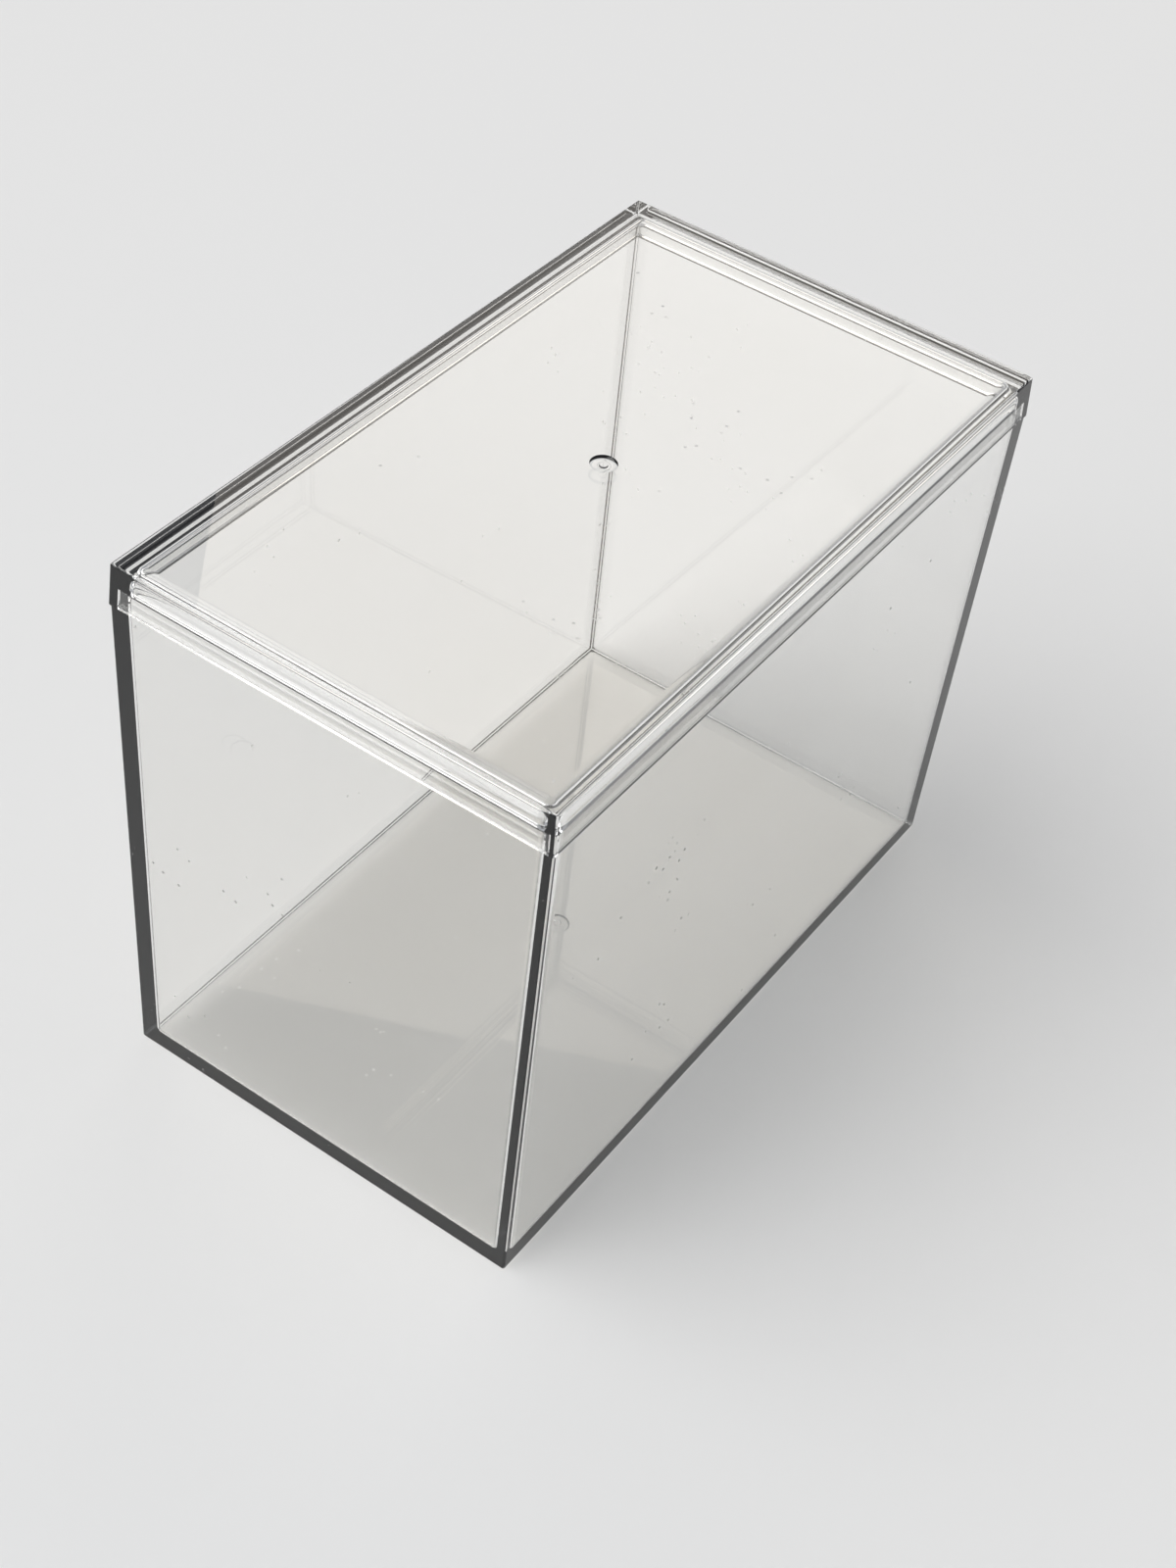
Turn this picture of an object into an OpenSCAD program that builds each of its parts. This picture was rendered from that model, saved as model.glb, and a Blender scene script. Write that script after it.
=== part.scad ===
// Clear moulded storage box with a lift-off lid.
// The lid's thin lip closes over a stepped rim, so the two walls lap at the joint.
// Origin at the middle of the base, X along the long side, Z up, millimetres.

/* [Overall] */
// Length over the lid's lip
case_length = 120; // [90:1:160]
// Width over the lid's lip
case_width = 71; // [50:1:110]
// Height with the lid on
case_height = 92.5; // [50:0.5:130]

/* [Body] */
// Thickness of the floor
floor_thick = 1.9; // [1.6:0.1:3]
// How far each side leans in from the shoulder down to the base
body_draft = 1.05; // [0.4:0.05:1.4]
// How far each inner face leans in over the same height
cavity_draft = 1.15; // [0.6:0.05:1.6]
// Radius of the outer corners and of the outer edges
outer_radius = 0.4; // [0.2:0.1:0.6]
// Radius of the inner corners and where the walls meet the floor
inner_radius = 1; // [0.7:0.1:2]

/* [Lid] */
// Height of the lid over its edge
lid_height = 6.8; // [6:0.1:10]
// Thickness of the lid's top
lid_thick = 2.2; // [1.6:0.1:3]
// Thickness of the lid's wall above the step
lid_wall = 2.4; // [2:0.1:3]
// Radius inside the lid, where its wall runs into its top
lid_fillet = 1.4; // [0.6:0.1:2]
// How far each side leans in from the lip up to the top
lid_draft = 0.3; // [0.1:0.05:0.4]

/* [Closing rim] */
// Thickness of the lid's lip
lip_thick = 1.1; // [0.9:0.1:1.4]
// Depth of the lip below the step inside the lid
lip_depth = 2.8; // [2.2:0.1:4]
// Thickness of the body's rim
rim_thick = 0.9; // [0.8:0.1:1.4]
// Running clearance between the lip and the rim, on each side
lap_clearance = 0.15; // [0.1:0.05:0.3]
// Gap left between the top of the rim and the step inside the lid
rim_gap = 0.3; // [0.1:0.05:0.8]
// How far the lip stands out past the body at the joint
lip_overhang = 0.2; // [0:0.05:0.5]

/* [Gate marks] */
// Diameter of the dimple left where the plastic was fed in
gate_diameter = 4; // [3:0.5:6]
// Depth of the dimple
gate_depth = 0.4; // [0.2:0.1:0.6]
// Diameter of the broken-off stub in the middle of the dimple
stub_diameter = 1.2; // [0.8:0.1:2]

/* [Hidden] */

corner_fn = 32;
gate_fn = 64;
// Overshoot that lets one solid cut cleanly through the face of another
clean = 0.5;
// Height of the discs that a hull is drawn over
disc = 0.01;

// The lip stands on the body's shoulder here, and the step is the ledge inside the lid above it
seam_z = case_height - lid_height;
step_z = seam_z + lip_depth;
rim_z = step_z - rim_gap;

// Plans as [length, width]: a margin is taken off every side
case_plan = [case_length, case_width];
function inset(plan, margin) = [plan.x - 2 * margin, plan.y - 2 * margin];

shoulder_plan = inset(case_plan, lip_overhang);
base_plan = inset(shoulder_plan, body_draft);
lip_bore = inset(case_plan, lip_thick);
rim_plan = inset(lip_bore, lap_clearance);
mouth_plan = inset(rim_plan, rim_thick);
floor_plan = inset(mouth_plan, cavity_draft);
lid_bore = inset(case_plan, lid_wall);

// Lip and rim lean together, so the clearance stays even as the lid goes home
lean = lid_draft / lid_height;
lip_bore_top = inset(lip_bore, lean * lip_depth);
rim_top = inset(rim_plan, lean * (rim_z - seam_z));

stub_radius = stub_diameter / 2;
stub_height = gate_depth / 2;

// A flat disc at a corner of a hull
module corner_disc(radius) cylinder(h = disc, r = radius, $fn = corner_fn);

// A half dome that rounds a corner and the two edges that run from it
module corner_dome(radius) rotate_extrude($fn = corner_fn)
    intersection() {
        circle(radius);
        square(radius);
    }

// Puts its children at the four corners of a plan
module at_corners(plan, radius) for (x = [-1, 1], y = [-1, 1])
    translate([x * (plan.x / 2 - radius), y * (plan.y / 2 - radius), 0]) children();

// A drafted block with square edges, from a plan at its foot to one at its head
module drafted(foot, head, height, radius) hull() {
    at_corners(foot, radius) corner_disc(radius);
    translate([0, 0, height - disc]) at_corners(head, radius) corner_disc(radius);
}

// The same block with its head rounded over
module domed(foot, head, height, radius) hull() {
    at_corners(foot, radius) corner_disc(radius);
    translate([0, 0, height - radius]) at_corners(head, radius) corner_dome(radius);
}

// The mark of the feed point: a shallow dish with the broken stub in its middle
module gate_mark() difference() {
    cylinder(h = 2 * gate_depth, d = gate_diameter, center = true, $fn = gate_fn);
    translate([0, 0, -gate_depth]) cylinder(h = stub_height, r = stub_radius, $fn = gate_fn);
}

module box_body() color([0.93, 0.92, 0.89, 0.4]) difference() {
    union() {
        translate([0, 0, seam_z]) mirror([0, 0, 1])
            domed(shoulder_plan, base_plan, seam_z, outer_radius);
        translate([0, 0, seam_z - clean])
            drafted(rim_plan, rim_top, rim_z - seam_z + clean, outer_radius);
    }
    translate([0, 0, rim_z]) mirror([0, 0, 1])
        domed(mouth_plan, floor_plan, rim_z - floor_thick, inner_radius);
    translate([0, 0, rim_z - disc])
        drafted(mouth_plan, mouth_plan, clean, inner_radius);
    mirror([0, 0, 1]) gate_mark();
}

module lid() color([0.95, 0.94, 0.91, 0.4]) difference() {
    translate([0, 0, seam_z])
        domed(case_plan, inset(case_plan, lid_draft), lid_height, outer_radius);
    translate([0, 0, seam_z - clean])
        drafted(lip_bore, lip_bore_top, lip_depth + clean, outer_radius);
    translate([0, 0, step_z - clean])
        domed(lid_bore, lid_bore, lid_height - lid_thick - lip_depth + clean, lid_fillet);
    translate([0, 0, case_height]) gate_mark();
}

box_body();
lid();
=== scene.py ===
import math

import bmesh
import bpy
from mathutils import Matrix, Vector


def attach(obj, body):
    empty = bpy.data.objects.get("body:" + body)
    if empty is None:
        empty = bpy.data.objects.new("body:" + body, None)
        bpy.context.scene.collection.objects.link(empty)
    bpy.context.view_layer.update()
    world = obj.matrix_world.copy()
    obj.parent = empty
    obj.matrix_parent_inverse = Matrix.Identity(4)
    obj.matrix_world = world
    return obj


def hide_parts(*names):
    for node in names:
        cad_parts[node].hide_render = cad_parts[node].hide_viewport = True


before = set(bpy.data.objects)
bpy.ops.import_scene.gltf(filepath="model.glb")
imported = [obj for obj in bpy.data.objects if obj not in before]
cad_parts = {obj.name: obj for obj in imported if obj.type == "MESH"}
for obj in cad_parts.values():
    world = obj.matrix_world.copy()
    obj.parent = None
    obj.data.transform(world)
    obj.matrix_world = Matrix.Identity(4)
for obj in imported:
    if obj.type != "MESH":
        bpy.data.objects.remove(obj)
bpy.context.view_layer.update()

scene = bpy.context.scene

# Sizes of the pieces are in millimetres, and turned into metres as they are built
mm = 0.001
cornerSteps = 9
quarters = ((1, 1), (-1, 1), (-1, -1), (1, -1))
ringCount = len(quarters) * (cornerSteps + 1)

meshLook = {
    "leastRadius": 0.02,
    "smallSteps": 5,
    "outerSteps": 8,
    "innerSteps": 9,
    "sharpFrom": math.radians(35),
    "flatWeight": 100,
}

outline = {
    "halfLength": 60.0,
    "halfWidth": 35.5,
    "height": 92.5,
    "seam": 85.7,
    "step": 88.5,
    # How much the lip and the rim lean in for each millimetre up
    "lean": 0.3 / 6.8,
    "cornerRadius": 0.4,
}


# A shader socket that can be added, multiplied and compared like a number
class Value:
    def __init__(self, graph, socket):
        self.graph = graph
        self.socket = socket

    def __add__(self, other):
        return self.graph.math("ADD", self, other)

    def __radd__(self, other):
        return self.graph.math("ADD", other, self)

    def __sub__(self, other):
        return self.graph.math("SUBTRACT", self, other)

    def __rsub__(self, other):
        return self.graph.math("SUBTRACT", other, self)

    def __mul__(self, other):
        return self.graph.math("MULTIPLY", self, other)

    def __rmul__(self, other):
        return self.graph.math("MULTIPLY", other, self)

    def __gt__(self, other):
        return self.graph.math("GREATER_THAN", self, other)

    def __lt__(self, other):
        return self.graph.math("LESS_THAN", self, other)

    def __abs__(self):
        return self.graph.math("ABSOLUTE", self)


class Graph:
    def __init__(self, tree):
        self.tree = tree
        tree.nodes.clear()

    # Any node: its settings, then what goes into its sockets
    def add(self, kind, settings, inputs, output=0):
        node = self.tree.nodes.new(kind)
        for key, value in settings.items():
            setattr(node, key, value)
        for key, value in inputs.items():
            if isinstance(value, Value):
                self.tree.links.new(value.socket, node.inputs[key])
            else:
                node.inputs[key].default_value = value
        return Value(self, node.outputs[output]) if node.outputs else node

    def math(self, operation, *terms):
        return self.add("ShaderNodeMath", {"operation": operation}, dict(enumerate(terms)))

    def mixColor(self, factor, first, second):
        return self.add("ShaderNodeMix", {"data_type": "RGBA"}, {0: factor, 6: first, 7: second}, 2)

    def noise(self, point, scale, detail):
        return self.add("ShaderNodeTexNoise", {}, {"Vector": point, "Scale": scale, "Detail": detail})

    def turned(self, point, angle, stretch):
        return self.add("ShaderNodeMapping", {}, {"Vector": point, "Rotation": angle, "Scale": stretch})

    # Thin lines where a noise crosses its middle value
    def lines(self, noise, sharpness):
        middleValue = 0.5
        return self.math("MAXIMUM", 1 - abs(noise - middleValue) * sharpness, 0.0)


def setMaterial(obj, material):
    obj.data.materials.clear()
    obj.data.materials.append(material)


# A rounded rectangle at one height, inset evenly from the lid's outline
def plan(inset, z, radius):
    radius = max(radius, meshLook["leastRadius"])
    cx = outline["halfLength"] - inset - radius
    cy = outline["halfWidth"] - inset - radius
    points = []
    for quarter, (sx, sy) in enumerate(quarters):
        for step in range(cornerSteps + 1):
            a = math.radians(90 * (quarter + step / cornerSteps))
            points.append((sx * cx + radius * math.cos(a), sy * cy + radius * math.sin(a), z))
    return points


# A circle with as many points as a plan, so that the two can be joined
def circle(radius, z):
    turns = [2 * math.pi / ringCount * (k + 0.5) for k in range(ringCount)]
    return [(radius * math.cos(a), radius * math.sin(a), z) for a in turns]


# Plans along a rounded edge, whose section is an arc about one centre
def edge(inset, z, radius, start, stop, planRadius, steps=meshLook["smallSteps"]):
    rings = []
    for step in range(steps + 1):
        a = math.radians(start + (stop - start) * step / steps)
        rings.append(plan(inset - radius * math.cos(a), z + radius * math.sin(a),
                          planRadius + radius * math.cos(a)))
    return rings


# The feed mark's dish with its broken stub, from the middle out
def gateRings(look, z, inward):
    return [circle(radius, z + inward * depth) for radius, depth in look["profile"]]


# Joins rings of equal count into one closed skin, in metres
def skin(name, rings):
    mesh = bpy.data.meshes.new(name)
    build = bmesh.new()
    rows = [[build.verts.new(Vector(p) * mm) for p in ring] for ring in rings]
    for lower, upper in zip(rows, rows[1:]):
        for k in range(ringCount):
            n = (k + 1) % ringCount
            build.faces.new((lower[k], lower[n], upper[n], upper[k]))
    build.faces.new(rows[0][::-1])
    build.faces.new(rows[-1])
    bmesh.ops.recalc_face_normals(build, faces=build.faces)
    build.to_mesh(mesh)
    build.free()
    for face in mesh.polygons:
        face.use_smooth = True
    mesh.set_sharp_from_angle(angle=meshLook["sharpFrom"])
    obj = bpy.data.objects.new(name, mesh)
    scene.collection.objects.link(obj)
    # Big flat faces keep their own direction, and the small rounds blend between them
    weighted = obj.modifiers.new("normals", "WEIGHTED_NORMAL")
    weighted.weight = meshLook["flatWeight"]
    weighted.keep_sharp = True
    return obj


# Clear moulded plastic: two refracting surfaces, a little handling haze, hairline scratches and dust
def clearPlastic(name, look):
    material = bpy.data.materials.new(name)
    material.use_nodes = True
    graph = Graph(material.node_tree)
    point = graph.add("ShaderNodeTexCoord", {}, {}, "Object")
    haze = graph.noise(point, look["hazeScale"], look["hazeDetail"])
    flowPoint = graph.turned(point, look["flowTurn"], look["flowStretch"])
    flow = graph.noise(flowPoint, look["flowScale"], look["flowDetail"])
    scratches = 0
    for turn, stretch, wornShift in look["scratches"]:
        field = graph.noise(graph.turned(point, turn, stretch), look["scratchScale"], look["scratchDetail"])
        worn = graph.noise(point, look["wornScale"] + wornShift, look["wornDetail"]) > look["wornAbove"]
        scratches = graph.lines(field, look["scratchSharpness"]) * worn + scratches
    speck = graph.add("ShaderNodeTexVoronoi", {}, {"Vector": point, "Scale": look["dustScale"]}, "Distance")
    patch = graph.noise(point, look["dustPatchScale"], look["dustPatchDetail"]) > look["dustAbove"]
    dust = (speck < look["dustRadius"]) * patch
    color = graph.mixColor(haze, look["clear"], look["warm"])
    roughness = look["polish"] + look["haze"] * haze + look["scratchHaze"] * scratches + look["dustHaze"] * dust
    normal = graph.add("ShaderNodeBump", {}, {
        "Strength": 1.0,
        "Distance": look["flowDepth"],
        "Height": flow,
    })
    glass = graph.add("ShaderNodeBsdfPrincipled", {}, {
        "Base Color": color,
        "Roughness": roughness,
        "IOR": look["ior"],
        "Transmission Weight": 1.0,
        "Normal": normal,
    })
    shade = graph.add("ShaderNodeBsdfTransparent", {}, {"Color": look["shade"]})
    shadowRay = graph.add("ShaderNodeLightPath", {}, {}, "Is Shadow Ray")
    surface = graph.add("ShaderNodeMixShader", {}, {0: shadowRay, 1: glass, 2: shade})
    graph.add("ShaderNodeOutputMaterial", {}, {"Surface": surface})
    return material


plasticLook = {
    "clear": (0.985, 0.985, 0.98, 1),
    "warm": (0.98, 0.976, 0.962, 1),
    "shade": (0.64, 0.64, 0.635, 1),
    "ior": 1.5,
    "polish": 0.002,
    "haze": 0.008,
    "hazeScale": 34.0,
    "hazeDetail": 4.0,
    "flowScale": 17.0,
    "flowDetail": 1.5,
    "flowTurn": (0, 0, 0.35),
    "flowStretch": (1, 0.6, 1.4),
    "flowDepth": 0.00004,
    # Each way that the box was wiped: a turn, a stretch along the wipe, and a shift of the worn patches
    "scratches": (
        ((0.3, 0.3 * 0.7, 0.4), (1, 26, 1), 0.3),
        ((1.1, 1.1 * 0.7, -0.9), (30, 1, 1), 1.1),
        ((2.3, 2.3 * 0.7, 1.9), (1, 34, 1), 2.3),
    ),
    "scratchScale": 9.0,
    "scratchDetail": 2.0,
    "scratchSharpness": 260.0,
    "scratchHaze": 0.09,
    "wornScale": 21.0,
    "wornDetail": 2.0,
    "wornAbove": 0.6,
    "dustScale": 420.0,
    "dustRadius": 0.11,
    "dustPatchScale": 60.0,
    "dustPatchDetail": 3.0,
    "dustAbove": 0.62,
    "dustHaze": 0.5,
}

gateLook = {
    # Radius and depth, from the stub in the middle out to the flat face
    "profile": ((0.35, 0.16), (0.55, 0.2), (0.64, 0.36), (1.1, 0.4), (1.6, 0.34), (1.88, 0.2), (2.0, 0.0)),
}

# Body: floor and four drafted walls, with the thin rim standing up inside the shoulder
bodyLook = {
    "baseInset": 1.25,
    "shoulderInset": 0.2,
    "rimInset": 1.25,
    "rimTop": 88.2,
    "mouthInset": 2.15,
    "floorInset": 3.3,
    "floor": 1.9,
    "innerRadius": 1.0,
    "edgeRadius": 0.12,
    # A hair of air under the lip, so that its underside reflects as it does in the photograph
    "seatGap": 0.05,
}
look = bodyLook
edgeRadius = look["edgeRadius"]
corner = outline["cornerRadius"]
shoulder = outline["seam"] - look["seatGap"]
rimTopInset = look["rimInset"] + outline["lean"] * (look["rimTop"] - outline["seam"])
bodyRings = gateRings(gateLook, 0, 1)
rimEdge = look["rimTop"] - edgeRadius
inner = look["innerRadius"]
bodyRings += edge(look["baseInset"] + corner, corner, corner, -90, 0, 0, meshLook["outerSteps"])
bodyRings += edge(look["shoulderInset"] + edgeRadius, shoulder - edgeRadius, edgeRadius, 0, 90, corner - edgeRadius)
bodyRings += [plan(look["rimInset"], shoulder, corner)]
bodyRings += edge(rimTopInset + edgeRadius, rimEdge, edgeRadius, 0, 90, corner - edgeRadius)
bodyRings += edge(look["mouthInset"] - edgeRadius, rimEdge, edgeRadius, 90, 180, inner + edgeRadius)
bodyRings += edge(look["floorInset"] + inner, look["floor"] + inner, inner, 0, -90, 0, meshLook["innerSteps"])
boxBody = skin("box_body_clear", bodyRings)
setMaterial(boxBody, clearPlastic("clear_body_plastic", plasticLook))
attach(boxBody, "body")
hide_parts("box_body")
print("body made")

# Lid: flat top, short wall with a step inside it, and the thin lip that laps the rim
lidLook = {
    "topInset": 0.3,
    "topUnder": 90.3,
    "wallInset": 2.4,
    "fillet": 1.4,
    "lipInset": 1.1,
    "edgeRadius": 0.12,
    "seatGap": 0.02,
    "plastic": {**plasticLook, "flowScale": 13.0, "wornAbove": 0.57},
}
look = lidLook
edgeRadius = look["edgeRadius"]
lipFoot = outline["seam"] + look["seatGap"]
stepInset = look["lipInset"] + outline["lean"] * (outline["step"] - outline["seam"])
inner = look["fillet"]
lidRings = edge(look["wallInset"] + inner, look["topUnder"] - inner, inner, 90, 0, 0, meshLook["innerSteps"])
lidRings += edge(look["wallInset"] - edgeRadius, outline["step"] + edgeRadius, edgeRadius, 180, 270,
                 inner + edgeRadius)
lidRings += [plan(stepInset, outline["step"], corner)]
lidRings += edge(look["lipInset"] - edgeRadius, lipFoot + edgeRadius, edgeRadius, 180, 270, corner + edgeRadius)
lidRings += edge(edgeRadius, lipFoot + edgeRadius, edgeRadius, 270, 360, corner - edgeRadius)
lidRings += edge(look["topInset"] + corner, outline["height"] - corner, corner, 0, 90, 0, meshLook["outerSteps"])
lidRings += gateRings(gateLook, outline["height"], -1)[::-1]
lidShell = skin("lid_clear", lidRings)
setMaterial(lidShell, clearPlastic("clear_lid_plastic", look["plastic"]))
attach(lidShell, "lid")
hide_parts("lid")
print("lid made")

# Floor: plain pale paper
floorLook = {
    "half": 3.5,
    "below": 0.0001,
    "color": (0.86, 0.86, 0.855, 1),
    "worn": (0.845, 0.845, 0.84, 1),
    "toneScale": 3.0,
    "toneDetail": 2.0,
    "roughness": 0.75,
}
look = floorLook
floorMesh = bpy.data.meshes.new("floor")
half = look["half"]
floorMesh.from_pydata([(-half, -half, 0), (half, -half, 0), (half, half, 0), (-half, half, 0)], [], [(0, 1, 2, 3)])
floor = bpy.data.objects.new("floor", floorMesh)
floor.location.z = -look["below"]
scene.collection.objects.link(floor)
paper = bpy.data.materials.new("paper")
paper.use_nodes = True
graph = Graph(paper.node_tree)
point = graph.add("ShaderNodeTexCoord", {}, {}, "Object")
tone = graph.mixColor(graph.noise(point, look["toneScale"], look["toneDetail"]), look["color"], look["worn"])
sheet = graph.add("ShaderNodeBsdfPrincipled", {}, {"Base Color": tone, "Roughness": look["roughness"]})
graph.add("ShaderNodeOutputMaterial", {}, {"Surface": sheet})
setMaterial(floor, paper)
print("floor made")


# Lamps
def addLamp(name, kind, look):
    data = bpy.data.lights.new(name, kind)
    data.energy = look["energy"]
    data.color = look["color"]
    if kind == "SUN":
        data.angle = look["angle"]
    else:
        data.shape = "RECTANGLE"
        data.size, data.size_y = look["size"]
    lamp = bpy.data.objects.new(name, data)
    lamp.location = look["from"]
    lamp.rotation_euler = (Vector(look["to"]) - Vector(look["from"])).to_track_quat("-Z", "Y").to_euler()
    scene.collection.objects.link(lamp)


middle = (0, 0, 0.045)
lampLooks = {
    "sky_panel": ("SUN", {"energy": 1.65, "angle": 0.9, "color": (1, 0.985, 0.96),
                          "from": (-0.5, 0.55, 1.1), "to": middle}),
    # Stands where the flat top mirrors it into the camera
    "window_panel": ("AREA", {"energy": 1.5, "size": (0.75, 0.55), "color": (1, 0.93, 0.83),
                              "from": (0.98, 0.45, 0.9), "to": middle}),
    "side_strip": ("AREA", {"energy": 1.3, "size": (0.4, 0.8), "color": (0.94, 0.97, 1),
                            "from": (-0.75, 0.35, 0.45), "to": middle}),
}
for name, (kind, look) in lampLooks.items():
    addLamp(name, kind, look)

# Surroundings: pale to the camera, and a plain grey room to everything that the plastic bends or mirrors
roomLook = {
    "seen": (0.71, 0.71, 0.705, 1),
    "room": (0.37, 0.38, 0.4, 1),
}
world = bpy.data.worlds.new("room")
world.use_nodes = True
scene.world = world
graph = Graph(world.node_tree)
cameraRay = graph.add("ShaderNodeLightPath", {}, {}, "Is Camera Ray")
around = graph.mixColor(cameraRay, roomLook["room"], roomLook["seen"])
backdrop = graph.add("ShaderNodeBackground", {}, {"Color": around, "Strength": 1.0})
graph.add("ShaderNodeOutputWorld", {}, {"Surface": backdrop})
print("lamps made")

# Camera, fitted to the corners and the rim lines of the photograph
cameraLook = {
    "place": (-0.241063, -0.145059, 0.301382),
    "up": (0.529761, 0.453318, 0.716837),
    "forward": (0.623199, 0.365244, -0.691535),
    "lens": 58.5,
    "sensor": 36.0,
    "nearest": 0.01,
}
look = cameraLook
lensData = bpy.data.cameras.new("camera")
lensData.lens = look["lens"]
lensData.sensor_width = look["sensor"]
lensData.clip_start = look["nearest"]
camera = bpy.data.objects.new("camera", lensData)
scene.collection.objects.link(camera)
forward = Vector(look["forward"]).normalized()
right = forward.cross(Vector(look["up"])).normalized()
turn = Matrix((right, right.cross(forward), -forward)).transposed().to_4x4()
turn.translation = Vector(look["place"])
camera.matrix_world = turn
scene.camera = camera
scene.view_settings.view_transform = "Standard"
print("camera set")

bpy.context.view_layer.update()
